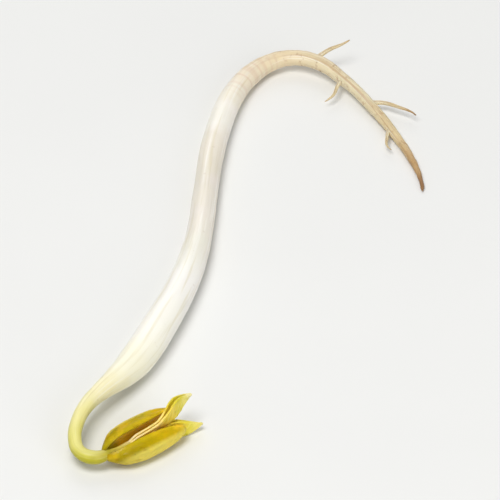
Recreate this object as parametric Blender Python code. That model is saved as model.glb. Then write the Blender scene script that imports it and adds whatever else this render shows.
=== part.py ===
# Mung bean sprout, lying on its side on a flat surface.
# One grown stem with its hook and root, two parted seed leaves, and the two first leaves between them.
# Metres, +Z up. The origin is on the surface, under the middle of the sprout.

import math

import bmesh
import bpy
import numpy as np
from mathutils import Matrix, Vector

MM = 0.001

# The sprout's middle line in millimetres, from the shoot between the seed leaves, round the hook, along the
# stem and to the root's tip: how far right, how far back, how high, and the radius there.
MIDDLE_LINE = [
    (1.70, 2.45, 1.62, 0.27),
    (0.45, 1.42, 1.57, 0.29),
    (-0.50, 0.78, 1.53, 0.53),
    (-1.55, 0.45, 1.54, 0.66),
    (-2.75, 0.95, 1.70, 0.64),
    (-3.30, 2.40, 1.95, 0.63),
    (-3.15, 4.60, 2.25, 0.66),
    (-2.35, 6.90, 2.42, 0.73),
    (-1.20, 8.90, 2.35, 0.88),
    (0.25, 11.10, 2.08, 1.18),
    (1.45, 13.20, 1.76, 1.46),
    (2.55, 15.50, 1.56, 1.62),
    (4.45, 20.30, 1.52, 1.64),
    (6.20, 25.60, 1.40, 1.52),
    (7.40, 30.50, 1.26, 1.38),
    (8.10, 35.40, 1.13, 1.25),
    (8.65, 42.10, 1.08, 1.20),
    (9.15, 47.20, 1.10, 1.22),
    (9.80, 51.20, 1.10, 1.22),
    (10.55, 54.60, 1.08, 1.19),
    (11.60, 57.60, 1.05, 1.13),
    (13.00, 60.00, 1.08, 1.04),
    (14.70, 61.60, 1.20, 0.92),
    (16.80, 62.20, 1.42, 0.80),
    (19.30, 61.40, 1.52, 0.70),
    (22.00, 58.90, 1.20, 0.62),
    (24.60, 55.20, 0.78, 0.55),
    (26.90, 50.90, 0.50, 0.48),
    (28.70, 46.40, 0.40, 0.40),
    (29.30, 42.60, 0.36, 0.33),
]
RING_SIDES = 16
RING_SPACING = 0.70 * MM
TIP_ROUNDING = 0.7

# The stem isn't quite round: its sides swell and narrow a little, in two waves, told in turns per ring.
LUMP_SHARE = 0.018
LUMP_WAVES = (0.31, 0.83)

# Side roots: place along the whole middle line, as a share of it, turn about the root, length and radius.
SIDE_ROOTS = [
    (0.775, 35, 3.6 * MM, 0.30 * MM),
    (0.815, 200, 3.0 * MM, 0.28 * MM),
    (0.860, 15, 4.2 * MM, 0.28 * MM),
    (0.905, 165, 2.8 * MM, 0.26 * MM),
]
SIDE_ROOT_SIDES = 6
SIDE_ROOT_RINGS = 5
SIDE_ROOT_LEAN = 50
SIDE_ROOT_DROOP = 0.12
SIDE_ROOT_TAPER = 0.25

# The head: where the seed leaves meet the hook, the way that they point, and how far the pair leans.
HEAD_BASE = Vector((-0.55, 0.66, 1.56)) * MM
HEAD_TURN = 38
HEAD_LEAN = 18
HEAD_RISE = 0.5

# The two halves of the head: name, hand, fullness of the seed leaf, and height of the first leaf's blade.
HALVES = [
    ("far", 1, 0.96, 1.22 * MM),
    ("near", -1, 0.96, 0.58 * MM),
]

SEED_LEAF_START = 0.50 * MM
SEED_LEAF_LENGTH = 8.1 * MM
SEED_LEAF_THICK = 1.90 * MM
SEED_LEAF_HOLLOW = 0.60 * MM
SEED_LEAF_RIM = 0.16
SEED_LEAF_HALF_HEIGHT = 1.40 * MM
SEED_LEAF_BOW = 0.60 * MM
SEED_LEAF_RINGS = 20
SEED_LEAF_SIDES = 20
CLEFT_AT_BASE = 0.30 * MM
CLEFT_AT_TIP = 0.57 * MM
CLEFT_FLARE = 1.5
RIM_SHARPNESS = 3

# A seed leaf is fullest a little nearer its base, with blunt ends.
FULLEST_SHIFT = 0.80
END_BLUNTNESS = 2.3
END_ROUNDNESS = 0.58

FIRST_LEAF_START = 3.15 * MM
FIRST_LEAF_LENGTH = 7.3 * MM
FIRST_LEAF_HALF_WIDTH = 0.80 * MM
FIRST_LEAF_THICK = 0.62 * MM
FIRST_LEAF_STALK = 0.30 * MM
FIRST_LEAF_TIP = 0.12 * MM
FIRST_LEAF_POINT = 0.25 * MM
FIRST_LEAF_LIFT = 0.46 * MM
FIRST_LEAF_SPREAD = 1.15 * MM
FIRST_LEAF_FOLD = 0.20 * MM
FIRST_LEAF_LEAN = 0.50 * MM
FIRST_LEAF_RINGS = 18
FIRST_LEAF_COLUMNS = 6

# Along a first leaf, as a share of it: where the blade opens, where it leans fully, where it starts to part
# from the other one, where it has its full lift, and where the stalk's ridge starts to thin.
BLADE_OPENS = 0.30
BLADE_FULLEST_SHIFT = 0.85
BLADE_LEANS_BY = 0.75
BLADES_PART = 0.38
BLADE_LIFTED_BY = 0.70
STALK_THINS = 0.50


def clear_scene():
    for thing in list(bpy.data.objects):
        bpy.data.objects.remove(thing, do_unlink=True)


def finish_material(name, colour, roughness):
    material = bpy.data.materials.new(name)
    material.use_nodes = True
    shader = material.node_tree.nodes["Principled BSDF"]
    shader.inputs["Base Color"].default_value = (*colour, 1)
    shader.inputs["Roughness"].default_value = roughness
    shader.inputs["Metallic"].default_value = 0
    material.diffuse_color = (*colour, 1)
    return material


def stem_material():
    return finish_material("sprout_stem", (0.90, 0.89, 0.80), 0.28)


def seed_leaf_material():
    return finish_material("seed_leaf", (0.55, 0.42, 0.03), 0.42)


def first_leaf_material():
    return finish_material("first_leaf", (0.62, 0.60, 0.06), 0.48)


def empty(name, parent, location, rotation):
    holder = bpy.data.objects.new(name, None)
    bpy.context.scene.collection.objects.link(holder)
    holder.parent = parent
    holder.location = location
    holder.rotation_euler = rotation
    return holder


def mesh_object(name, shape, material, parent, collection=None):
    bmesh.ops.recalc_face_normals(shape, faces=shape.faces)
    mesh = bpy.data.meshes.new(name)
    shape.to_mesh(mesh)
    shape.free()
    mesh.shade_smooth()
    mesh.materials.append(material)
    piece = bpy.data.objects.new(name, mesh)
    (collection or bpy.context.scene.collection).objects.link(piece)
    piece.parent = parent
    return piece


def skin(rings, first_end, last_end):
    """A closed skin over rings of points, with one point at each end."""
    shape = bmesh.new()
    loops = [[shape.verts.new(point) for point in ring] for ring in rings]
    for here, there in zip(loops, loops[1:]):
        for i in range(len(here)):
            j = (i + 1) % len(here)
            shape.faces.new((here[i], here[j], there[j]))
            shape.faces.new((here[i], there[j], there[i]))
    for loop, end in ((loops[0], first_end), (loops[-1], last_end)):
        point = shape.verts.new(end)
        for i in range(len(loop)):
            shape.faces.new((loop[i], loop[(i + 1) % len(loop)], point))
    return shape


def spline(knots, values, places):
    """A natural cubic spline through the values, read at the places."""
    gaps = np.diff(knots)
    steps = np.diff(values, axis=0) / gaps[:, None]
    system = np.eye(len(knots))
    right = np.zeros_like(values)
    for i in range(1, len(knots) - 1):
        system[i, i - 1 : i + 2] = gaps[i - 1], 2 * (gaps[i - 1] + gaps[i]), gaps[i]
        right[i] = 6 * (steps[i] - steps[i - 1])
    bends = np.linalg.solve(system, right)
    i = np.clip(np.searchsorted(knots, places, side="right") - 1, 0, len(gaps) - 1)
    gap = gaps[i][:, None]
    after = (places - knots[i])[:, None] / gap
    before = 1 - after
    curved = (before**3 - before) * bends[i] + (after**3 - after) * bends[i + 1]
    return before * values[i] + after * values[i + 1] + curved * gap**2 / 6


def middle_line():
    """Points and radii along the sprout, evenly spaced."""
    stations = np.array(MIDDLE_LINE) * MM
    steps = np.linalg.norm(np.diff(stations[:, :3], axis=0), axis=1)
    knots = np.concatenate([[0], np.cumsum(steps)])
    count = round(knots[-1] / RING_SPACING)
    line = spline(knots, stations, np.linspace(0, knots[-1], count + 1))
    return line[:, :3], line[:, 3]


def directions(points):
    """For each point of the line: the way along it, the way to its level side, and the way up from it."""
    along = np.gradient(points, axis=0)
    along /= np.linalg.norm(along, axis=1)[:, None]
    side = np.cross((0, 0, 1), along)
    side /= np.linalg.norm(side, axis=1)[:, None]
    return along, side, np.cross(along, side)


def stem_rings():
    """Rings round the middle line. Where the stem rests it is pressed flat on the surface, at height 0."""
    points, radii = middle_line()
    along, side, up = directions(points)
    angles = (np.arange(RING_SIDES) + 0.5) * 2 * math.pi / RING_SIDES
    rings = []
    for i, (point, radius) in enumerate(zip(points, radii)):
        lump = LUMP_SHARE * sum(math.sin(i * wave) for wave in LUMP_WAVES)
        ring = []
        for angle in angles:
            way = math.cos(angle) * side[i] + math.sin(angle) * up[i]
            x, y, z = point + radius * (1 + lump * math.cos(angle)) * way
            ring.append(Vector((x, y, max(z, 0))))
        rings.append(ring)
    shoot_tip = Vector(points[0] - along[0] * radii[0] * TIP_ROUNDING)
    root_tip = Vector(points[-1] + along[-1] * radii[-1] * TIP_ROUNDING)
    return rings, shoot_tip, root_tip


def side_root(place, turn, length, radius):
    """One thin side root that leans towards the root's tip and starts on its middle line."""
    points, _ = middle_line()
    along, side, up = directions(points)
    i = round(place * (len(points) - 1))
    out = math.cos(math.radians(turn)) * side[i] + math.sin(math.radians(turn)) * up[i]
    lean = math.radians(SIDE_ROOT_LEAN)
    way = math.sin(lean) * out + math.cos(lean) * along[i]
    way[2] = max(way[2], 0)
    across = np.cross(way, (0, 0, 1))
    across /= np.linalg.norm(across)
    over = np.cross(across, way)
    rings = []
    for step in range(SIDE_ROOT_RINGS):
        share = step / (SIDE_ROOT_RINGS - 1)
        middle = points[i] + way * length * share
        middle[2] = max(middle[2] - length * SIDE_ROOT_DROOP * share**2, radius)
        narrow = radius * (1 - SIDE_ROOT_TAPER * share)
        ring = []
        for k in range(SIDE_ROOT_SIDES):
            angle = 2 * math.pi * k / SIDE_ROOT_SIDES
            ring.append(Vector(middle + narrow * (math.cos(angle) * across + math.sin(angle) * over)))
        rings.append(ring)
    start = Vector(points[i] - way * radius * TIP_ROUNDING)
    return skin(rings, start, Vector(middle + way * radius * TIP_ROUNDING))


def join_side_roots(stem):
    """Grows the side roots into the root, as one closed body."""
    added = bpy.data.collections.new("side_roots")
    bpy.context.scene.collection.children.link(added)
    for number, sizes in enumerate(SIDE_ROOTS):
        mesh_object(f"side_root_{number}", side_root(*sizes), stem.data.materials[0], None, added)
    union = stem.modifiers.new("side_roots", "BOOLEAN")
    union.operation = "UNION"
    union.operand_type = "COLLECTION"
    union.collection = added
    bpy.context.view_layer.update()
    grown = stem.evaluated_get(bpy.context.evaluated_depsgraph_get())
    joined = bpy.data.meshes.new_from_object(grown)
    stem.modifiers.remove(union)
    stem.data = joined
    joined.shade_smooth()
    for piece in list(added.objects):
        bpy.data.objects.remove(piece, do_unlink=True)
    bpy.data.collections.remove(added)


def stem_and_root(parent):
    stem = mesh_object("stem_and_root", skin(*stem_rings()), stem_material(), parent)
    join_side_roots(stem)


def fullness(share):
    """How full a seed leaf is along its length: 0 at both ends, 1 where it is fullest."""
    moved = share**FULLEST_SHIFT
    return (1 - abs(2 * moved - 1) ** END_BLUNTNESS) ** END_ROUNDNESS


def smooth(share, low, high):
    """Rises softly from 0 at low to 1 at high."""
    share = min(max((share - low) / (high - low), 0), 1)
    return share * share * (3 - 2 * share)


def seed_leaf(name, hand, size, material, parent):
    """Half a bean: hollow towards the cleft, round outside. hand is 1 on the far side, -1 on the near one."""
    rings = []
    for step in range(1, SEED_LEAF_RINGS):
        share = 0.5 - 0.5 * math.cos(math.pi * step / SEED_LEAF_RINGS)
        full = fullness(share)
        along = SEED_LEAF_START + SEED_LEAF_LENGTH * share
        rim = CLEFT_AT_BASE + (CLEFT_AT_TIP - CLEFT_AT_BASE) * share**CLEFT_FLARE
        rim += SEED_LEAF_BOW * (1 - full) * share
        ring = []
        for k in range(SEED_LEAF_SIDES):
            angle = 2 * math.pi * k / SEED_LEAF_SIDES
            out = math.cos(angle)
            if out > 0:
                thick = SEED_LEAF_THICK * (SEED_LEAF_RIM + (1 - SEED_LEAF_RIM) * out)
            else:
                edge = SEED_LEAF_THICK * SEED_LEAF_RIM * (1 + out) ** RIM_SHARPNESS
                thick = edge + SEED_LEAF_HOLLOW * out * out
            high = SEED_LEAF_HALF_HEIGHT * size * full * math.sin(angle)
            ring.append(Vector((along, hand * (rim + thick * size * full), high)))
        rings.append(ring)
    base = Vector((SEED_LEAF_START, hand * CLEFT_AT_BASE, 0))
    tip = Vector((SEED_LEAF_START + SEED_LEAF_LENGTH, hand * (CLEFT_AT_TIP + SEED_LEAF_BOW), 0))
    mesh_object(name, skin(rings, base, tip), material, parent)


def first_leaf(name, hand, blade_lift, material, parent):
    """A folded, pointed blade on a flat stalk. In the cleft the far one's stalk lies above the near one's."""
    rings = []
    for step in range(FIRST_LEAF_RINGS):
        share = step / (FIRST_LEAF_RINGS - 1)
        opened = (max(share - BLADE_OPENS, 0) / (1 - BLADE_OPENS)) ** BLADE_FULLEST_SHIFT
        blade = FIRST_LEAF_HALF_WIDTH * math.sin(math.pi * opened)
        stalk = FIRST_LEAF_STALK + (FIRST_LEAF_TIP - FIRST_LEAF_STALK) * smooth(share, STALK_THINS, 1)
        half = max(stalk, blade)
        along = FIRST_LEAF_START + FIRST_LEAF_LENGTH * share
        out = FIRST_LEAF_SPREAD * smooth(share, BLADES_PART, 1)
        lift = FIRST_LEAF_LIFT + (blade_lift - FIRST_LEAF_LIFT) * smooth(share, 0, BLADE_LIFTED_BY)
        leaning = FIRST_LEAF_LEAN * smooth(share, BLADE_OPENS, BLADE_LEANS_BY)
        outer, inner = [], []
        for column in range(FIRST_LEAF_COLUMNS + 1):
            across = 2 * column / FIRST_LEAF_COLUMNS - 1
            bent = (leaning * hand * across - FIRST_LEAF_FOLD * across**2) * half / FIRST_LEAF_HALF_WIDTH
            high = hand * lift + half * across
            outer.append(Vector((along, hand * (out + bent + FIRST_LEAF_THICK / 2), high)))
            inner.append(Vector((along, hand * (out + bent - FIRST_LEAF_THICK / 2), high)))
        rings.append(outer + inner[::-1])
    base = sum(rings[0], Vector()) / len(rings[0])
    tip = sum(rings[-1], Vector()) / len(rings[-1]) + Vector((FIRST_LEAF_POINT, 0, 0))
    mesh_object(name, skin(rings, base, tip), material, parent)


def stand_on_origin(sprout):
    """Moves the whole sprout so that the origin is on the surface, under the middle of its box."""
    bpy.context.view_layer.update()
    corners = [
        piece.matrix_world @ vertex.co
        for piece in bpy.data.objects
        if piece.type == "MESH"
        for vertex in piece.data.vertices
    ]
    low = [min(corner[k] for corner in corners) for k in range(3)]
    high = [max(corner[k] for corner in corners) for k in range(3)]
    sprout.location = (-(low[0] + high[0]) / 2, -(low[1] + high[1]) / 2, -low[2])
    bpy.context.view_layer.update()


def build():
    clear_scene()
    sprout = empty("sprout", None, (0, 0, 0), (0, 0, 0))
    stem_and_root(sprout)
    turn = Matrix.Rotation(math.radians(HEAD_TURN), 3, "Z")
    rise = Matrix.Rotation(-math.radians(HEAD_RISE), 3, "Y")
    lean = Matrix.Rotation(math.radians(HEAD_LEAN), 3, "X")
    head = empty("head", sprout, HEAD_BASE, (turn @ rise @ lean).to_euler())
    fleshy = seed_leaf_material()
    leafy = first_leaf_material()
    for name, hand, size, blade_lift in HALVES:
        seed_leaf(f"seed_leaf_{name}", hand, size, fleshy, head)
        first_leaf(f"first_leaf_{name}", hand, blade_lift, leafy, head)
    stand_on_origin(sprout)


build()
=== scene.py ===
import math

import bmesh
import bpy
import numpy as np
from mathutils import Matrix, Vector


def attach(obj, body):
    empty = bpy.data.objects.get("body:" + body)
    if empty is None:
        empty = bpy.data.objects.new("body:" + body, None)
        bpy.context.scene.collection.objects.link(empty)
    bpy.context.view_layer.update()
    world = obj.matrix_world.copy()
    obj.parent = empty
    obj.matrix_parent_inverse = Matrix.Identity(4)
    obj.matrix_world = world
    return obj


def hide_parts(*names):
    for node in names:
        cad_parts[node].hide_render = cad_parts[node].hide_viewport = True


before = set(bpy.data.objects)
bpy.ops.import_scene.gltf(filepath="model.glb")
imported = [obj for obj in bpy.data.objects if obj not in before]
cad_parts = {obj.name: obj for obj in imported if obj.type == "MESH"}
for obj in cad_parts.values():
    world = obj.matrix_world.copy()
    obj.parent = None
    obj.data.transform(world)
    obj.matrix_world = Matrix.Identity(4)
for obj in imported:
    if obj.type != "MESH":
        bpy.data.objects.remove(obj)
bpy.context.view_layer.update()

# Stem, hook and root
# One watery stalk that grew in one go: the short shoot, the thin yellow hook, the juicy white stem, the
# collar and the tapering root. It lies on its side, pressed flat by its own weight along a narrow strip.
MM = 0.001

# Right, back, up and radius in millimetres, from the shoot between the seed leaves to the root's tip.
stem_path = [
    (-10.80, -28.70, 1.63, 0.00),
    (-10.86, -28.75, 1.63, 0.14),
    (-11.13, -28.96, 1.62, 0.24),
    (-12.38, -29.99, 1.57, 0.29),
    (-13.33, -30.63, 1.53, 0.54),
    (-14.38, -30.96, 1.54, 0.67),
    (-15.62, -30.46, 1.70, 0.64),
    (-16.15, -29.01, 1.95, 0.63),
    (-15.98, -26.81, 2.25, 0.66),
    (-15.18, -24.51, 2.42, 0.73),
    (-14.03, -22.51, 2.35, 0.88),
    (-12.58, -20.31, 2.08, 1.18),
    (-11.38, -18.21, 1.76, 1.46),
    (-10.28, -15.91, 1.56, 1.62),
    (-8.38, -11.11, 1.52, 1.64),
    (-6.63, -5.81, 1.40, 1.52),
    (-5.43, -0.91, 1.26, 1.38),
    (-4.73, 3.99, 1.13, 1.25),
    (-4.18, 10.69, 1.08, 1.20),
    (-3.68, 15.79, 1.10, 1.22),
    (-3.03, 19.79, 1.10, 1.22),
    (-2.28, 23.19, 1.08, 1.19),
    (-1.23, 26.19, 1.05, 1.13),
    (0.17, 28.59, 1.08, 1.04),
    (1.87, 30.19, 1.20, 0.90),
    (3.97, 30.79, 1.42, 0.79),
    (6.47, 29.99, 1.52, 0.72),
    (9.17, 27.49, 1.20, 0.61),
    (11.77, 23.79, 0.78, 0.54),
    (14.07, 19.49, 0.50, 0.45),
    (15.87, 14.99, 0.36, 0.33),
    (16.50, 12.30, 0.26, 0.23),
    (16.57, 11.30, 0.22, 0.15),
    (16.58, 10.96, 0.20, 0.00),
]
stem_length = 96.4
stem_rings_per_place = 22

# How far each rib stands out, round the stem, as a share of its radius.
stem_ribs = [
    1.0, 0.985, 1.0, 1.012, 1.0, 0.98, 0.995, 1.01,
    1.0, 0.988, 1.005, 1.012, 0.99, 1.0, 0.982, 1.004,
]
sides_per_rib = 4

# Where the root's wrinkles start, at the collar, and where they are at their deepest, in millimetres along.
wrinkles_start = 62
wrinkles_full = 76

# Points that are closer than this count as the same point.
same_point = 0.001 * MM


def draw_stalk(name, path, ribs, rings_per_place):
    """A closed stalk drawn along a path of places and radii, with a slightly ribbed round profile."""
    bpy.ops.object.select_all(action="DESELECT")
    bpy.ops.curve.primitive_bezier_circle_add(radius=MM, enter_editmode=True)
    while len(bpy.context.object.data.splines[0].bezier_points) < len(ribs):
        bpy.ops.curve.subdivide(number_cuts=1)
    bpy.ops.object.mode_set(mode="OBJECT")
    profile = bpy.context.object
    profile.data.resolution_u = sides_per_rib
    for place, rib in zip(profile.data.splines[0].bezier_points, ribs):
        place.co *= rib
        place.handle_left *= rib
        place.handle_right *= rib
    bpy.ops.object.select_all(action="DESELECT")
    bpy.ops.curve.primitive_bezier_curve_add(radius=MM, enter_editmode=True)
    bpy.ops.curve.select_all(action="SELECT")
    bpy.ops.curve.delete(type="VERT")
    for right, back, up, radius in path:
        bpy.ops.curve.vertex_add(location=(right * MM, back * MM, up * MM))
        bpy.ops.curve.radius_set(radius=radius)
    bpy.ops.curve.select_all(action="SELECT")
    bpy.ops.curve.handle_type_set(type="AUTOMATIC")
    bpy.ops.object.mode_set(mode="OBJECT")
    stalk = bpy.context.object
    stalk.name = name
    stalk.data.dimensions = "3D"
    stalk.data.twist_mode = "Z_UP"
    stalk.data.splines[0].radius_interpolation = "CARDINAL"
    stalk.data.resolution_u = rings_per_place
    stalk.data.bevel_mode = "OBJECT"
    stalk.data.bevel_object = profile
    bpy.ops.object.convert(target="MESH")
    stalk = bpy.context.object
    bpy.data.objects.remove(profile, do_unlink=True)
    return stalk


def mark_grain(stalk, sides):
    """Notes on each point of a stalk how far to the side and up it is, -1 to 1, and millimetres along."""
    places = np.array([point.co for point in stalk.data.vertices]).reshape(-1, sides, 3)
    middles = places.mean(1)
    along = np.concatenate([[0], np.cumsum(np.linalg.norm(np.diff(middles, axis=0), axis=1))]) / MM
    turns = np.linspace(0, 2 * math.pi, sides, endpoint=False)
    grain = np.zeros((len(middles), sides, 3), np.float32)
    grain[:, :, 0] = np.cos(turns)
    grain[:, :, 1] = np.sin(turns)
    grain[:, :, 2] = along[:, None]
    note = stalk.data.attributes.new("grain", "FLOAT_VECTOR", "POINT")
    note.data.foreach_set("vector", grain.ravel())
    return middles, along


def close_ends(stalk):
    """Merges each end's last ring into one point and turns all faces outwards."""
    bpy.ops.object.select_all(action="DESELECT")
    bpy.context.view_layer.objects.active = stalk
    stalk.select_set(True)
    bpy.ops.object.mode_set(mode="EDIT")
    bpy.ops.mesh.select_all(action="SELECT")
    bpy.ops.mesh.remove_doubles(threshold=same_point)
    bpy.ops.mesh.normals_make_consistent(inside=False)
    bpy.ops.object.mode_set(mode="OBJECT")
    bpy.ops.object.shade_smooth()


def roughen(piece, name, size, height, group=""):
    """Swells and dents a piece's skin by soft bumps of the given grain size and height, in millimetres."""
    bumps = bpy.data.textures.new(name, "CLOUDS")
    bumps.noise_scale = size * MM
    bumps.noise_basis = "IMPROVED_PERLIN"
    bumps.noise_depth = 2
    bpy.ops.object.select_all(action="DESELECT")
    bpy.context.view_layer.objects.active = piece
    piece.select_set(True)
    bpy.ops.object.modifier_add(type="DISPLACE")
    swell = piece.modifiers[-1]
    swell.texture = bumps
    swell.texture_coords = "LOCAL"
    swell.strength = height * MM
    swell.mid_level = 0.5
    swell.vertex_group = group
    bpy.ops.object.modifier_apply(modifier=swell.name)


def rest_on_surface(piece):
    """Presses flat what would go below the surface that the sprout lies on."""
    for point in piece.data.vertices:
        point.co.z = max(point.co.z, 0)


stem = draw_stalk("sprout_stem", stem_path, stem_ribs, stem_rings_per_place)
stem_sides = len(stem_ribs) * sides_per_rib
stem_middles, stem_along = mark_grain(stem, stem_sides)
wrinkled = stem.vertex_groups.new(name="root")
for ring, along in enumerate(stem_along):
    share = min(max((along - wrinkles_start) / (wrinkles_full - wrinkles_start), 0), 1)
    if share > 0:
        wrinkled.add(range(ring * stem_sides, (ring + 1) * stem_sides), share, "REPLACE")
close_ends(stem)
roughen(stem, "slow_swell", size=6, height=0.16)
roughen(stem, "soft_dents", size=1.7, height=0.05)
roughen(stem, "root_wrinkles", size=0.7, height=0.17, group="root")
rest_on_surface(stem)


def shade(red, green, blue):
    """A colour as seen on a screen, 0 to 255, as the light values that a finish needs."""
    seen = [value / 255 for value in (red, green, blue)]
    return [value / 12.92 if value < 0.04045 else ((value + 0.055) / 1.055) ** 2.4 for value in seen] + [1]


def new_finish(name):
    finish = bpy.data.materials.new(name)
    finish.use_nodes = True
    return finish, finish.node_tree.nodes["Principled BSDF"]


def add_node(finish, kind, inputs, **settings):
    """Adds one node to a finish. inputs gives a value, or another node's output, for each socket."""
    node = finish.node_tree.nodes.new(kind)
    for setting, value in settings.items():
        setattr(node, setting, value)
    for socket, value in inputs.items():
        if isinstance(value, bpy.types.NodeSocket):
            finish.node_tree.links.new(value, node.inputs[socket])
        else:
            node.inputs[socket].default_value = value
    return node


def place_of(finish):
    """Where a point is, in metres."""
    return add_node(finish, "ShaderNodeTexCoord", {}).outputs["Object"]


def read_note(finish, name):
    """A note that the mesh's points carry, as one vector."""
    return add_node(finish, "ShaderNodeAttribute", {}, attribute_name=name).outputs["Vector"]


def parts_of(finish, vector):
    return add_node(finish, "ShaderNodeSeparateXYZ", {"Vector": vector}).outputs


def stretch(finish, vector, scale):
    """A pattern's place, drawn out by a different amount each way."""
    return add_node(finish, "ShaderNodeMapping", {"Vector": vector, "Scale": scale}).outputs[0]


def cloud(finish, vector, scale, detail=3, roughness=0.5):
    """A soft random pattern about 0.5."""
    inputs = {"Vector": vector, "Scale": scale, "Detail": detail, "Roughness": roughness}
    return add_node(finish, "ShaderNodeTexNoise", inputs).outputs[0]


def ease(finish, value, low, high, to_low=0, to_high=1):
    """Rises softly from to_low to to_high as the value goes from low to high."""
    inputs = {"Value": value, "From Min": low, "From Max": high, "To Min": to_low, "To Max": to_high}
    return add_node(finish, "ShaderNodeMapRange", inputs, interpolation_type="SMOOTHSTEP").outputs[0]


def reckon(finish, operation, first, second=0, third=0):
    inputs = {0: first, 1: second, 2: third}
    return add_node(finish, "ShaderNodeMath", inputs, operation=operation).outputs[0]


def both(finish, first, second):
    """A share that is high only where the first and the second are."""
    return reckon(finish, "MULTIPLY", first, second)


def tint(finish, share, first, second, way="MIX"):
    """Lays the second colour over the first, by a share."""
    inputs = {0: share, 6: first, 7: second}
    return add_node(finish, "ShaderNodeMix", inputs, data_type="RGBA", blend_type=way).outputs[2]


def colours_along(finish, value, stops):
    """Colours that pass into each other as the value rises from stop to stop."""
    low, high = stops[0][0], stops[-1][0]
    share = add_node(finish, "ShaderNodeMapRange", {"Value": value, "From Min": low, "From Max": high})
    colours = add_node(finish, "ShaderNodeValToRGB", {"Fac": share.outputs[0]})
    ramp = colours.color_ramp
    ramp.interpolation = "EASE"
    for place, colour in stops[1:-1]:
        ramp.elements.new((place - low) / (high - low)).color = colour
    ramp.elements[0].color = stops[0][1]
    ramp.elements[-1].color = stops[-1][1]
    return colours.outputs[0]


def specks(finish, place, scale, chance, size):
    """Small round spots with soft edges, on only some cells of a pattern: 1 in a spot and 0 between."""
    core = 0.45 * size
    fade = 0.04
    dots = add_node(finish, "ShaderNodeTexVoronoi", {"Vector": place, "Scale": scale, "Randomness": 1})
    draw = add_node(finish, "ShaderNodeSeparateColor", {"Color": dots.outputs["Color"]}).outputs[0]
    spot = ease(finish, dots.outputs["Distance"], size, core)
    return both(finish, spot, ease(finish, draw, 1 - chance, 1 + fade - chance))


def emboss(finish, height, depth):
    """Fine relief in the skin, of a depth in millimetres."""
    inputs = {"Height": height, "Strength": 1, "Distance": depth * MM}
    return add_node(finish, "ShaderNodeBump", inputs).outputs[0]


def let_light_in(shader, share, reach, depth):
    """Lets a share of the light into the flesh. reach says how much of the depth red, green and blue go."""
    shader.subsurface_method = "BURLEY"
    shader.inputs["Subsurface Weight"].default_value = share
    shader.inputs["Subsurface Radius"].default_value = reach
    shader.inputs["Subsurface Scale"].default_value = depth * MM


def wet_film(shader, share, roughness):
    """The thin film of water on the skin."""
    shader.inputs["Coat Weight"].default_value = share
    shader.inputs["Coat Roughness"].default_value = roughness


def flesh_colours(finish, along, place):
    """White flesh, yellow green at the hook and tan at the root, with faint lilac and green patches, and a
    greyer stretch mid-stem that is partly painted shade.
    """
    waver = reckon(finish, "MULTIPLY_ADD", cloud(finish, place, 420, 2), 5, -2.5)
    base = colours_along(finish, reckon(finish, "ADD", along, waver), [
        (0, shade(240, 224, 146)),
        (1.6, shade(220, 204, 96)),
        (3.2, shade(186, 172, 30)),
        (5.0, shade(204, 196, 62)),
        (7.4, shade(224, 216, 108)),
        (10.5, shade(236, 227, 152)),
        (14.0, shade(245, 237, 194)),
        (18.5, shade(251, 247, 222)),
        (26.0, shade(253, 250, 239)),
        (33.0, shade(251, 248, 241)),
        # From 43 to 55 mm along, the flesh is greyer. This is partly its own tone and partly painted shade,
        # the shadow of neighbouring sprouts.
        (43.0, shade(238, 231, 218)),
        (50.0, shade(232, 225, 209)),
        (55.0, shade(238, 230, 215)),
        (59.0, shade(250, 245, 237)),
        (63.5, shade(244, 237, 220)),
        (67.0, shade(240, 227, 203)),
        (72.0, shade(232, 214, 178)),
        (80.0, shade(230, 218, 184)),
        (88.0, shade(218, 198, 154)),
        (93.0, shade(190, 156, 108)),
        (stem_length, shade(146, 106, 66)),
    ])
    white_part = both(finish, ease(finish, along, 14, 24), ease(finish, along, 68, 58))
    lilac = ease(finish, cloud(finish, place, 130, 2), 0.52, 0.74, 0, 0.34)
    base = tint(finish, both(finish, lilac, white_part), base, shade(240, 229, 236))
    green = ease(finish, cloud(finish, place, 110, 2), 0.48, 0.30, 0, 0.34)
    return tint(finish, both(finish, green, white_part), base, shade(231, 233, 208))


def strand_colours(finish, base, along, strands):
    """Darker and lighter strands along the flesh. The lighter ones are faint on the hook."""
    dark = ease(finish, strands, 0.52, 0.74, 0, 0.45)
    base = tint(finish, dark, base, shade(226, 219, 192), "MULTIPLY")
    light = both(finish, ease(finish, strands, 0.42, 0.30), ease(finish, along, 5, 17, 0.08, 0.45))
    return tint(finish, light, base, shade(255, 253, 246))


def hook_painted_light_and_shade(finish, base, along, up):
    """Painted light and shade on the hook: a paler painted light on its top, and a yellow green painted
    shade on its sides and underneath.
    """
    hook = both(finish, ease(finish, along, 2.4, 4.5), ease(finish, along, 16, 8))
    # Painted light: paler where the hook faces up.
    painted_top_light = both(finish, ease(finish, up, 0.5, 1.0, 0, 0.3), hook)
    base = tint(finish, painted_top_light, base, shade(248, 242, 180))
    # Painted shade: yellow green on the hook's sides and underneath.
    painted_under_shade = both(finish, ease(finish, up, 0.75, -0.15, 0, 0.8), hook)
    return tint(finish, painted_under_shade, base, shade(176, 170, 18))


def root_skin(finish, along, fibres):
    """Where the root has a thin tan skin, in long shreds."""
    shreds = ease(finish, cloud(finish, fibres, 1.8, 5, 0.62), 0.50, 0.68)
    return both(finish, shreds, ease(finish, along, 63, 76))


def root_scars(finish, along, grain):
    """Where the root has small brown scars."""
    scars = ease(finish, cloud(finish, stretch(finish, grain, (1, 1, 1.6)), 1.5, 3, 0.6), 0.56, 0.68)
    return both(finish, scars, ease(finish, along, 66, 78, 0, 0.5))


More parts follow.
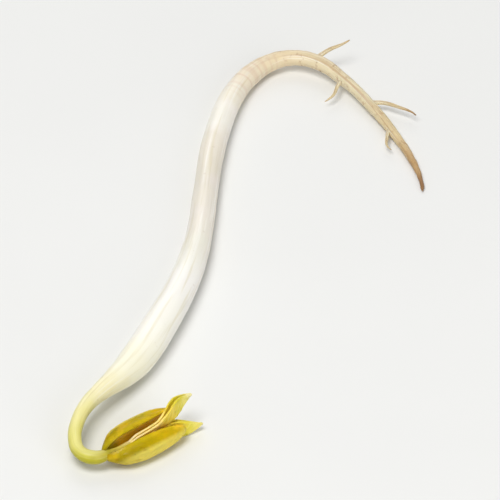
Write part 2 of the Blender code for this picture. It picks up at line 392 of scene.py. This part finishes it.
def collar_rings(finish, along, grain):
    """Where the collar, between stem and root, has its faint rings."""
    collar = both(finish, ease(finish, along, 62, 66.5), ease(finish, along, 74, 68))
    bands = add_node(finish, "ShaderNodeTexWave", {
        "Vector": stretch(finish, grain, (0.06, 0.06, 1)), "Scale": 0.32, "Distortion": 14, "Detail": 4,
        "Detail Scale": 0.8,
    }, bands_direction="Z").outputs[1]
    return both(finish, ease(finish, bands, 0.40, 1, 0, 0.24), collar)


def stem_finish():
    finish, shader = new_finish("wet_stem_flesh")
    link = finish.node_tree.links.new
    grain = read_note(finish, "grain")
    up, along = parts_of(finish, grain)[1:]
    place = place_of(finish)
    fibres = stretch(finish, grain, (1, 1, 0.035))
    strands = cloud(finish, fibres, 3.2, 2, 0.5)
    skin = root_skin(finish, along, fibres)
    scars = root_scars(finish, along, grain)
    base = flesh_colours(finish, along, place)
    base = strand_colours(finish, base, along, strands)
    # The hook's painted light on top and painted shade underneath.
    base = hook_painted_light_and_shade(finish, base, along, up)
    base = tint(finish, both(finish, skin, 0.6), base, shade(182, 142, 96))
    base = tint(finish, scars, base, shade(168, 118, 76))
    base = tint(finish, collar_rings(finish, along, grain), base, shade(206, 158, 122))
    often = ease(finish, along, 58, 74, 0.12, 0.8)
    speck = both(finish, specks(finish, place, 1150, chance=0.18, size=0.22), often)
    link(tint(finish, speck, base, shade(160, 122, 76)), shader.inputs["Base Color"])
    rough = ease(finish, cloud(finish, place, 900, 3), 0.35, 0.65, 0.30, 0.42)
    rough = reckon(finish, "ADD", rough, ease(finish, along, 64, 80, 0, 0.22))
    link(rough, shader.inputs["Roughness"])
    fine = reckon(finish, "MULTIPLY_ADD", cloud(finish, place, 2600, 2), 0.12, strands)
    relief = reckon(finish, "MULTIPLY_ADD", reckon(finish, "ADD", skin, scars), 0.7, fine)
    link(emboss(finish, relief, depth=0.035), shader.inputs["Normal"])
    let_light_in(shader, share=0.4, reach=(1.0, 0.85, 0.55), depth=0.6)
    shader.inputs["IOR"].default_value = 1.38
    wet_film(shader, share=0.22, roughness=0.28)
    return finish


stem.data.materials.append(stem_finish())
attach(stem, "root")
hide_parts("stem_and_root")

# Side roots
# Four thin side roots of the same flesh and skin as the root. They break out of its skin, lean towards its
# tip, droop and end hair-thin.

# How far along the sprout, degrees round the root, length and radius in millimetres, and bend in radians.
side_roots = [
    (74.7, 35, 4.4, 0.25, 0.15),
    (78.6, 200, 3.9, 0.22, -0.8),
    (82.9, 15, 5.2, 0.23, -0.8),
    (87.3, 165, 3.7, 0.20, 1.1),
]
side_root_lean = math.radians(50)
side_root_droop = 0.12
side_root_steps = 12
side_root_rings_per_step = 5
side_root_ribs = [1.0] * 4

# Shares of its radius: wider where it breaks out, which fades fast, thinner all along, and at its end.
side_root_flare = 0.55
side_root_flare_fade = 14
side_root_thinning = 0.35
side_root_end_thinning = 0.42

# It sways to both sides by an angle, in so many radians of a wave.
side_root_sway = 0.16
side_root_wave = 9

# Its first bit inside the root and its last, pointed bit, in millimetres.
side_root_first_bit = 0.05
side_root_last_bit = 0.06

# It has the root's colours from this far along the sprout, and runs through them so many times as fast.
side_root_colours_from = 78
side_root_colours_rate = 3.2


def spot_on_root(along):
    """The root's middle at a distance along the sprout, with the ways along it, to its side and up."""
    ring = int(np.searchsorted(stem_along, along))
    middle = stem_middles[ring]
    ahead = stem_middles[ring + 4] - stem_middles[ring - 4]
    ahead /= np.linalg.norm(ahead)
    side = np.cross((0, 0, 1), ahead)
    side /= np.linalg.norm(side)
    return middle, ahead, side, np.cross(ahead, side)


def side_root_path(along, turn, length, radius, curl):
    """A side root's places and radii in millimetres, from the root's middle outwards."""
    middle, ahead, side, up = spot_on_root(along)
    out = math.cos(math.radians(turn)) * side + math.sin(math.radians(turn)) * up
    way = math.sin(side_root_lean) * out + math.cos(side_root_lean) * ahead
    way[2] = max(way[2], 0)
    path = [(*(middle / MM), 0)]
    spot = middle / MM + way * side_root_first_bit
    for step in range(side_root_steps + 1):
        share = step / side_root_steps
        flare = side_root_flare * math.exp(-share * side_root_flare_fade)
        thin = radius * (1 + flare - side_root_thinning * share - side_root_end_thinning * share**3)
        high = max(spot[2] - length * side_root_droop * share**2, thin)
        path.append((spot[0], spot[1], high, thin))
        bend = curl * share**1.5 + side_root_sway * math.sin(side_root_wave * share + along)
        turned = np.array(Matrix.Rotation(bend, 3, "Z") @ Vector(way))
        spot = spot + turned * length / side_root_steps
    path.append((*(np.array(path[-1][:3]) + turned * side_root_last_bit), 0))
    return path


def side_root(name, sizes):
    piece = draw_stalk(name, side_root_path(*sizes), side_root_ribs, side_root_rings_per_step)
    mark_grain(piece, len(side_root_ribs) * sides_per_rib)
    for note in piece.data.attributes["grain"].data:
        note.vector[2] = side_root_colours_from + side_root_colours_rate * note.vector[2]
    close_ends(piece)
    roughen(piece, name, size=0.5, height=0.04)
    rest_on_surface(piece)
    return piece


for number, sizes in enumerate(side_roots):
    thin_root = side_root(f"side_root_{number}", sizes)
    thin_root.data.materials.append(stem.data.materials[0])
    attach(thin_root, "root")

# Seed leaves
# The two halves of the bean, fleshy and hollow towards the cleft between them. They draw in to the hook's
# end, which they grow from, and part at their tips where the first leaves push out.

# Where the head sits on the hook's end, and how it is turned, raised and leant over, in degrees.
head_place = Vector((-13.3847, -30.7508, 1.56)) * MM
head_turn = Matrix.Rotation(math.radians(38), 4, "Z") @ Matrix.Rotation(math.radians(-0.5), 4, "Y")
head_turn = head_turn @ Matrix.Rotation(math.radians(18), 4, "X")

seed_leaf_start = 0.50 * MM
seed_leaf_length = 8.1 * MM
seed_leaf_thick = 1.824 * MM
seed_leaf_half_height = 1.344 * MM
seed_leaf_rings = 40
seed_leaf_sides = 40

# Its rim's share of the thickness, and how far its tip bows out.
seed_leaf_rim = 0.16
seed_leaf_bow = 0.60 * MM

# How far the rim is from the cleft's middle, and how late along the leaf the cleft widens.
cleft_at_base = 0.30 * MM
cleft_at_tip = 0.57 * MM
cleft_flare = 1.5

# It is fullest a little before its middle, with blunt, round ends.
fullest_shift = 0.80
end_bluntness = 2.3
end_roundness = 0.58

# How many times as thick and as high as the ball that it starts as.
ball_to_thick = (1 - seed_leaf_rim) * seed_leaf_thick / MM
ball_to_high = seed_leaf_half_height / MM

# Degrees round from the middle of the outer side, where along the leaf each starts and ends, and its depth.
seed_leaf_furrows = [
    (27, 0.12, 0.70, 0.09),
    (-18, 0.25, 0.90, 0.07),
    (63, 0.30, 0.86, 0.09),
    (-63, 0.08, 0.62, 0.08),
]

# The side towards the cleft is nearly flat, with a trough along it.
cleft_side_bulge = 0.09
trough_half_width = 0.25 * MM
trough_depth = 0.45 * MM
trough_spread = 1.05 * MM

# The base is drawn out to the hook's end and in towards the cleft, with the flesh this far around it.
base_draw = (-0.75 * MM, -0.25 * MM, 0)
base_draw_spread = 1.3 * MM


def pick(piece, wanted):
    """Selects the points of a piece, in edit mode, that are wanted by their place."""
    shape = bmesh.from_edit_mesh(piece.data)
    for point in shape.verts:
        point.select = wanted(point.co)
    shape.select_flush_mode()
    bmesh.update_edit_mesh(piece.data)


def pick_ring(piece, around):
    """Selects one ring of the ball that a seed leaf starts as, by its angle from the base's end."""
    pick(piece, lambda co: abs(co.x + math.cos(around) * MM) < same_point)


def pull_softly(way, spread):
    """Moves the selected points, and the points around them by less and less."""
    bpy.ops.transform.translate(
        value=way, use_proportional_edit=True, proportional_edit_falloff="SMOOTH", proportional_size=spread)


def even_out_rings(piece):
    """Gives all rings of the ball the size of a seed leaf's fullest one."""
    for ring in range(1, seed_leaf_rings):
        around = math.pi * ring / seed_leaf_rings
        pick_ring(piece, around)
        thick = ball_to_thick / math.sin(around)
        high = ball_to_high / math.sin(around)
        bpy.ops.transform.resize(value=(1, thick, high))


def press_furrows(piece):
    """Draws in the one line of points, along the outer side, that runs nearest to each furrow."""
    for turn, first, last, depth in seed_leaf_furrows:
        up = math.cos(math.radians(turn)) / ball_to_high
        out = -math.sin(math.radians(turn)) / ball_to_thick
        pick(piece, lambda co: co.y > 0 and 2 * first - 1 < co.x / MM < 2 * last - 1
             and abs(co.z * up + co.y * out) < math.pi / seed_leaf_sides * MM)
        bpy.ops.transform.resize(value=(1, 1 - depth, 1 - depth), center_override=(0, 0, 0))


def hollow_cleft_side(piece):
    """Flattens the side towards the cleft and pulls in its trough, while the outer side is hidden."""
    pick(piece, lambda co: co.y < -same_point)
    bpy.ops.transform.resize(value=(1, cleft_side_bulge, 1), center_override=(0, 0, 0))
    pick(piece, lambda co: co.y > same_point)
    bpy.ops.mesh.hide()
    pick(piece, lambda co: co.y < 0 and abs(co.z) < trough_half_width and abs(co.x) < MM - same_point)
    pull_softly((0, trough_depth, 0), trough_spread)
    bpy.ops.mesh.reveal(select=False)


def fullness(share):
    """How full a seed leaf is along its length: 0 at both ends, 1 where it is fullest."""
    return (1 - abs(2 * share**fullest_shift - 1) ** end_bluntness) ** end_roundness


def taper_to_ends(piece):
    """Sizes each ring by how full the leaf is there, and moves it out from the cleft's middle."""
    least_full = 0.001
    for ring in range(seed_leaf_rings + 1):
        around = math.pi * ring / seed_leaf_rings
        share = 0.5 - 0.5 * math.cos(around)
        full = max(fullness(share), least_full)
        rim = cleft_at_base + (cleft_at_tip - cleft_at_base) * share**cleft_flare
        rim += seed_leaf_bow * (1 - full) * share
        rim += seed_leaf_rim * seed_leaf_thick * full
        pick_ring(piece, around)
        bpy.ops.transform.resize(value=(1, full, full), center_override=(0, 0, 0))
        bpy.ops.transform.translate(value=(0, rim, 0))


def stretch_between(start, length):
    """Gives a start and a length to a piece in edit mode that reaches from -1 to 1 mm along the X axis."""
    bpy.ops.mesh.select_all(action="SELECT")
    bpy.ops.transform.translate(value=(MM, 0, 0))
    bpy.ops.transform.resize(value=(length / (2 * MM), 1, 1), center_override=(0, 0, 0))
    bpy.ops.transform.translate(value=(start, 0, 0))


def draw_out_base(piece):
    pick(piece, lambda co: co.x < seed_leaf_start + same_point)
    pull_softly(base_draw, base_draw_spread)


def note_place(piece):
    """Notes on each point its place in the head's own directions, in millimetres."""
    note = piece.data.attributes.new("place", "FLOAT_VECTOR", "POINT")
    places = np.array([point.co for point in piece.data.vertices], np.float32) / MM
    note.data.foreach_set("vector", places.ravel())


def set_on_head(piece):
    """Puts a piece that was shaped along the X axis at the hook's end, and leaves its place in its mesh."""
    piece.matrix_world = Matrix.Translation(head_place) @ head_turn
    bpy.ops.object.select_all(action="DESELECT")
    bpy.context.view_layer.objects.active = piece
    piece.select_set(True)
    bpy.ops.object.transform_apply(location=True, rotation=True, scale=True)


def refine(piece, levels):
    bpy.ops.object.modifier_add(type="SUBSURF")
    piece.modifiers[-1].levels = levels
    piece.modifiers[-1].render_levels = levels
    bpy.ops.object.modifier_apply(modifier=piece.modifiers[-1].name)


def seed_leaf(name, hand):
    """Half a bean, shaped from a ball along the X axis. hand is 1 on the far side, -1 on the near one."""
    bpy.ops.object.select_all(action="DESELECT")
    bpy.ops.mesh.primitive_uv_sphere_add(
        segments=seed_leaf_sides, ring_count=seed_leaf_rings, radius=MM, enter_editmode=True)
    piece = bpy.context.object
    piece.name = name
    bpy.ops.mesh.select_mode(type="VERT")
    bpy.ops.transform.rotate(value=math.pi / 2, orient_axis="Y")
    even_out_rings(piece)
    press_furrows(piece)
    hollow_cleft_side(piece)
    taper_to_ends(piece)
    stretch_between(seed_leaf_start, seed_leaf_length)
    draw_out_base(piece)
    bpy.ops.mesh.select_all(action="SELECT")
    if hand < 0:
        bpy.ops.transform.rotate(value=math.pi, orient_axis="X", center_override=(0, 0, 0))
    bpy.ops.mesh.normals_make_consistent(inside=False)
    bpy.ops.object.mode_set(mode="OBJECT")
    bpy.ops.object.shade_smooth()
    note_place(piece)
    set_on_head(piece)
    refine(piece, 2)
    roughen(piece, name + "_swell", size=2.4, height=0.14)
    roughen(piece, name + "_wrinkles", size=0.5, height=0.08)
    rest_on_surface(piece)
    return piece


def bean_colours(finish, along, place):
    """Olive yellow flesh, paler towards the tip, with golden and olive patches."""
    waver = reckon(finish, "MULTIPLY_ADD", cloud(finish, place, 500, 3), 3, -1.5)
    base = colours_along(finish, reckon(finish, "ADD", along, waver), [
        (0.0, shade(150, 131, 0)),
        (1.6, shade(162, 140, 0)),
        (4.2, shade(184, 158, 2)),
        (6.8, shade(200, 170, 8)),
        (8.8, shade(232, 206, 68)),
    ])
    patches = cloud(finish, place, 620, 4, 0.55)
    base = tint(finish, ease(finish, patches, 0.50, 0.66, 0, 0.6), base, shade(218, 174, 14))
    return tint(finish, ease(finish, patches, 0.46, 0.32, 0, 0.6), base, shade(150, 140, 2))


def bean_painted_light(finish, base, along, out, up):
    """Painted light on the leaf: a painted highlight on the rim along the cleft, and painted light from
    below on the outer flank and underside, partly the flank's own paler colour. The hollow is warm, partly
    its own tone and partly painted light against its shade.
    """
    # Painted highlight along the rim by the cleft.
    painted_rim_highlight = both(finish, ease(finish, out, 0.35, 0.60), ease(finish, out, 1.25, 0.85))
    base = tint(finish, both(finish, painted_rim_highlight, 0.40), base, shade(216, 192, 34))
    # Painted light thrown up from below, paler on the outer flank and most on the underside. This is partly
    # the flank's own paler colour.
    painted_flank_light = ease(finish, reckon(finish, "MULTIPLY_ADD", up, -0.5, out), 1.02, 1.55)
    painted_flank_light = both(finish, painted_flank_light, ease(finish, along, 0.4, 3.0, 0.3, 0.6))
    base = tint(finish, painted_flank_light, base, shade(250, 234, 112))
    # The hollow by the cleft is a warm yellow, partly its own tone and partly painted light that lifts the
    # shade it lies in.
    painted_hollow_light = both(finish, ease(finish, out, 1.35, 1.00), ease(finish, along, 1.4, 2.6, 0, 0.85))
    painted_hollow_light = both(finish, painted_hollow_light, ease(finish, reckon(finish, "ABSOLUTE", up), 1.05, 0.80))
    return tint(finish, painted_hollow_light, base, shade(255, 208, 48))


def seed_leaf_finish():
    finish, shader = new_finish("bean_flesh")
    link = finish.node_tree.links.new
    spot = read_note(finish, "place")
    along, across, up = parts_of(finish, spot)
    place = place_of(finish)
    base = bean_colours(finish, along, place)
    # The rim's painted highlight, painted light from below on the flank, and painted light in the hollow.
    base = bean_painted_light(finish, base, along, reckon(finish, "ABSOLUTE", across), up)
    wrinkles = cloud(finish, stretch(finish, spot, (0.35, 1, 1)), 2.6, 5, 0.6)
    base = tint(finish, ease(finish, wrinkles, 0.55, 0.72, 0, 0.5), base, shade(206, 176, 70), "MULTIPLY")
    speck = both(finish, specks(finish, place, 2100, chance=0.22, size=0.22), 0.5)
    link(tint(finish, speck, base, shade(120, 88, 20)), shader.inputs["Base Color"])
    link(ease(finish, cloud(finish, place, 1500, 3), 0.35, 0.65, 0.34, 0.50), shader.inputs["Roughness"])
    relief = reckon(finish, "MULTIPLY_ADD", cloud(finish, place, 5200, 2), 0.3, wrinkles)
    link(emboss(finish, relief, depth=0.10), shader.inputs["Normal"])
    let_light_in(shader, share=0.3, reach=(1.0, 0.8, 0.12), depth=0.5)
    shader.inputs["Specular IOR Level"].default_value = 0.05
    wet_film(shader, share=0.16, roughness=0.12)
    return finish


bean_flesh = seed_leaf_finish()
for name, hand in (("far", 1), ("near", -1)):
    half_bean = seed_leaf(f"half_bean_{name}", hand)
    half_bean.data.materials.append(bean_flesh)
    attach(half_bean, "root")
    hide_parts(f"seed_leaf_{name}")

# First leaves
# Two young leaves on short stalks, each still folded along its midrib with the edges up. The stalks grow
# from the shoot's tip and lie in the cleft, and the pointed blades part past the tips of the seed leaves.
first_leaf_start = 3.15 * MM
first_leaf_length = 7.45 * MM
first_leaf_thick = 0.20 * MM
first_leaf_columns = 120
first_leaf_rows = 28

# Half the height of the folded blade, of the stalk, and of the stalk carried on to the blade's tip.
blade_half_height = 0.80 * MM
stalk_half_height = 0.27 * MM
tip_half_height = 0.05 * MM

# The blade starts at this share of the leaf's length, and is fullest a little before its middle.
blade_start = 0.30
blade_fullest_shift = 0.85

# How far the blades lean over and part. The far leaf's stalk lies above the near one's by twice the lift.
first_leaf_lean = math.atan(0.5 / 0.8)
first_leaf_spread = 1.15 * MM
stalk_lift = 0.46 * MM

# The stalk starts this much sooner, inside the shoot, as narrow and as low as these shares.
stalk_root = 0.6 * MM
stalk_root_narrow = 0.45
stalk_root_low = 0.10

# Degrees that each side of the leaf is folded up, and how far it stands off the midrib.
stalk_fold = 90
blade_fold = 82
stalk_gap = 0.15 * MM
blade_gap = 0.09 * MM

# Where each side vein leaves the midrib, on the flat leaf from -1 to 1, and how it slants and wavers.
vein_starts = [-0.33, -0.19, -0.01, 0.13, 0.31, 0.44, 0.60]
vein_slant = 0.26
vein_waver = 0.02
vein_half_width = 0.016
vein_reach = 0.86 * MM
vein_height = 0.045 * MM
midrib_half_width = 0.04 * MM
midrib_height = 0.05 * MM


def soft_step(share, low, high):
    """Rises softly from 0 to 1 as the share goes from low to high."""
    share = min(max((share - low) / (high - low), 0), 1)
    return share * share * (3 - 2 * share)


def between(first, second, share):
    """The value that lies a share of the way from the first to the second."""
    return first + (second - first) * share


def half_height(share):
    """Half of a folded leaf's height along it: first the stalk, then the blade that comes to a point."""
    opened = (max(share - blade_start, 0) / (1 - blade_start)) ** blade_fullest_shift
    stalk = between(stalk_half_height, tip_half_height, soft_step(share, 0.5, 1))
    return max(stalk, blade_half_height * math.sin(math.pi * opened))


def off_vein(co):
    """How far a point of the flat leaf is from its nearest vein. Veins run out aslant from the midrib."""
    slanted = (co.x - vein_slant * abs(co.y)) / MM + vein_waver * math.sin(7 * co.y / MM + 4 * co.x / MM)
    return min(abs(slanted - start) for start in vein_starts)


def note_veins(piece):
    """Notes on each point of the flat leaf how far from a vein and the midrib it is, for the colours."""
    bpy.ops.object.mode_set(mode="OBJECT")
    note = piece.data.attributes.new("veins", "FLOAT_VECTOR", "POINT")
    for point, mark in zip(piece.data.vertices, note.data):
        mark.vector = off_vein(point.co), abs(point.co.y) / MM, 0
    bpy.ops.object.mode_set(mode="EDIT")


def push_out_veins(piece):
    pick(piece, lambda co: off_vein(co) < vein_half_width and abs(co.y) < vein_reach)
    bpy.ops.transform.translate(value=(0, 0, -vein_height))
    pick(piece, lambda co: abs(co.y) < midrib_half_width)
    bpy.ops.transform.translate(value=(0, 0, -midrib_height))


def fold_column(piece, x, half, fold, gap):
    """Sizes one column of the flat leaf and folds both its sides up, with the midrib lowest."""
    pick(piece, lambda co: abs(co.x - x) < same_point)
    bpy.ops.transform.resize(value=(1, 2 * half / MM, 1), center_override=(0, 0, 0))
    for side in (1, -1):
        pick(piece, lambda co: abs(co.x - x) < same_point and co.y * side > same_point)
        bpy.ops.transform.rotate(value=-side * fold, orient_axis="X", center_override=(0, 0, 0))
        bpy.ops.transform.translate(value=(0, side * gap, 0))
    pick(piece, lambda co: abs(co.x - x) < same_point)
    bpy.ops.transform.translate(value=(0, 0, -half))


def fold_leaf(piece, hand, blade_lift):
    """Folds and places the flat leaf column by column, from the stalk's end in the shoot to the tip."""
    for column in range(first_leaf_columns + 1):
        x = (2 * column / first_leaf_columns - 1) * MM
        along = between(-stalk_root, first_leaf_length, column / first_leaf_columns)
        share = max(along / first_leaf_length, 0)
        grown = soft_step(along / stalk_root, -1, 1)
        narrow = between(stalk_root_narrow, 1, grown)
        fold = math.radians(between(stalk_fold, blade_fold, soft_step(share, 0.25, 0.7)))
        gap = between(stalk_gap, blade_gap, soft_step(share, 0.25, 0.5))
        lean = first_leaf_lean * soft_step(share, 0.30, 0.75)
        fold_column(piece, x, half_height(share) * narrow / math.cos(lean), fold, gap * narrow)
        bpy.ops.transform.rotate(value=lean, orient_axis="X", center_override=(0, 0, 0))
        out = first_leaf_spread * soft_step(share, 0.38, 1)
        lift = between(stalk_lift, blade_lift, soft_step(share, 0, 0.70)) * between(stalk_root_low, 1, grown)
        bpy.ops.transform.translate(value=(0, hand * out, hand * lift))


def first_leaf(name, hand, blade_lift):
    """A folded leaf, shaped from a flat sheet along the X axis and then given its thickness."""
    bpy.ops.object.select_all(action="DESELECT")
    bpy.ops.mesh.primitive_grid_add(
        x_subdivisions=first_leaf_columns, y_subdivisions=first_leaf_rows, size=2 * MM, enter_editmode=True)
    piece = bpy.context.object
    piece.name = name
    bpy.ops.mesh.select_mode(type="VERT")
    note_veins(piece)
    push_out_veins(piece)
    fold_leaf(piece, hand, blade_lift)
    stretch_between(first_leaf_start - stalk_root, first_leaf_length + stalk_root)
    bpy.ops.object.mode_set(mode="OBJECT")
    bpy.ops.object.shade_smooth()
    bpy.ops.object.modifier_add(type="SOLIDIFY")
    piece.modifiers[-1].thickness = first_leaf_thick
    piece.modifiers[-1].offset = 0
    bpy.ops.object.modifier_apply(modifier=piece.modifiers[-1].name)
    note_place(piece)
    set_on_head(piece)
    refine(piece, 1)
    roughen(piece, name + "_curl", size=1.6, height=0.16)
    rest_on_surface(piece)
    return piece


def leaf_colours(finish, along, place):
    """A cream stalk and a lime yellow blade with a pale tip, in yellower and greener patches."""
    waver = reckon(finish, "MULTIPLY_ADD", cloud(finish, place, 700, 3), 2.4, -1.2)
    base = colours_along(finish, reckon(finish, "ADD", along, waver), [
        (3.0, shade(252, 232, 166)),
        (5.8, shade(250, 222, 130)),
        (7.4, shade(240, 214, 66)),
        (8.8, shade(226, 212, 52)),
        (9.8, shade(238, 226, 110)),
        (10.7, shade(250, 240, 176)),
    ])
    patches = cloud(finish, place, 1300, 4, 0.6)
    base = tint(finish, ease(finish, patches, 0.52, 0.70, 0, 0.6), base, shade(240, 216, 84))
    return tint(finish, ease(finish, patches, 0.46, 0.30, 0, 0.5), base, shade(190, 182, 24))


def vein_lines(finish, along):
    """Where the blade has its midrib or a side vein."""
    from_vein, from_midrib = parts_of(finish, read_note(finish, "veins"))[:2]
    side_vein = both(finish, ease(finish, from_vein, 0.026, 0.008), ease(finish, from_midrib, 0.95, 0.80))
    vein = reckon(finish, "MAXIMUM", side_vein, ease(finish, from_midrib, 0.10, 0.04))
    return both(finish, vein, ease(finish, along, 5.4, 6.6))


def first_leaf_finish():
    finish, shader = new_finish("young_leaf")
    link = finish.node_tree.links.new
    along = parts_of(finish, read_note(finish, "place"))[0]
    place = place_of(finish)
    base = leaf_colours(finish, along, place)
    vein = both(finish, vein_lines(finish, along), 0.45)
    link(tint(finish, vein, base, shade(244, 230, 120)), shader.inputs["Base Color"])
    link(ease(finish, cloud(finish, place, 2600, 3), 0.35, 0.65, 0.36, 0.52), shader.inputs["Roughness"])
    link(emboss(finish, cloud(finish, place, 5600, 3), depth=0.03), shader.inputs["Normal"])
    let_light_in(shader, share=0.35, reach=(1.0, 0.85, 0.2), depth=0.35)
    shader.inputs["Specular IOR Level"].default_value = 0.35
    wet_film(shader, share=0.1, roughness=0.15)
    return finish


young_leaf = first_leaf_finish()
for name, hand, blade_lift in (("far", 1, 1.22 * MM), ("near", -1, 0.58 * MM)):
    blade = first_leaf(f"young_leaf_{name}", hand, blade_lift)
    blade.data.materials.append(young_leaf)
    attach(blade, "root")
    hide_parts(f"first_leaf_{name}")

# Surface and light
# A wide matt white surface that the sprout lies on. A large soft light hangs over it in front on the left, a
# weaker one fills in from the right, and one from behind gives the wet skin its shine.
floor_size = 1.6
bpy.ops.object.select_all(action="DESELECT")
bpy.ops.mesh.primitive_plane_add(size=floor_size, location=(0, 0, 0))
floor = bpy.context.object
floor.name = "floor"
paper, paper_shader = new_finish("white_surface")
paper_shader.inputs["Roughness"].default_value = 0.9
paper_shader.inputs["Specular IOR Level"].default_value = 0.1
soft_white = tint(paper, cloud(paper, place_of(paper), 60, 2), shade(234, 234, 232), shade(237, 237, 235))
paper.node_tree.links.new(soft_white, paper_shader.inputs["Base Color"])
floor.data.materials.append(paper)


def soft_light(name, place, size, power, colour=(1.0, 1.0, 1.0)):
    """A square light of a size in metres and a power in watts, turned towards the sprout."""
    bpy.ops.object.light_add(type="AREA", location=place)
    light = bpy.context.object
    light.name = name
    light.rotation_euler = Vector(place).to_track_quat("Z", "Y").to_euler()
    light.data.size = size
    light.data.energy = power
    light.data.color = colour


soft_light("window_light", (-0.14, -0.22, 0.60), size=0.34, power=2.9, colour=(1.0, 0.995, 0.985))
soft_light("side_light", (0.34, -0.50, 0.24), size=0.45, power=1.1)
soft_light("back_light", (-0.06, 0.54, 0.42), size=0.42, power=1.0)
sky = bpy.data.worlds.new("white_room")
sky.use_nodes = True
sky.node_tree.nodes["Background"].inputs["Color"].default_value = (0.97, 0.985, 1.0, 1)
sky.node_tree.nodes["Background"].inputs["Strength"].default_value = 0.29
bpy.context.scene.world = sky

# Camera
# It looks down on the sprout by 38 degrees from the front. It stands far off and has a long lens, so that
# the near and far ends show at nearly the same scale.
camera_rise = math.radians(38)
camera_distance = 0.8
view_width = 47.5 * MM
view_middle = Vector((0, 0, 1.6 * MM))
film_width = 36
camera_data = bpy.data.cameras.new("camera")
camera_data.sensor_width = film_width
camera_data.lens = film_width * camera_distance / view_width
camera_data.clip_start = 0.01
camera_data.clip_end = 10
camera = bpy.data.objects.new("camera", camera_data)
bpy.context.scene.collection.objects.link(camera)
back_off = Vector((0, -math.cos(camera_rise), math.sin(camera_rise)))
camera.location = view_middle + back_off * camera_distance
camera.rotation_euler = (math.pi / 2 - camera_rise, 0, 0)
bpy.context.scene.camera = camera
bpy.context.scene.view_settings.view_transform = "Standard"
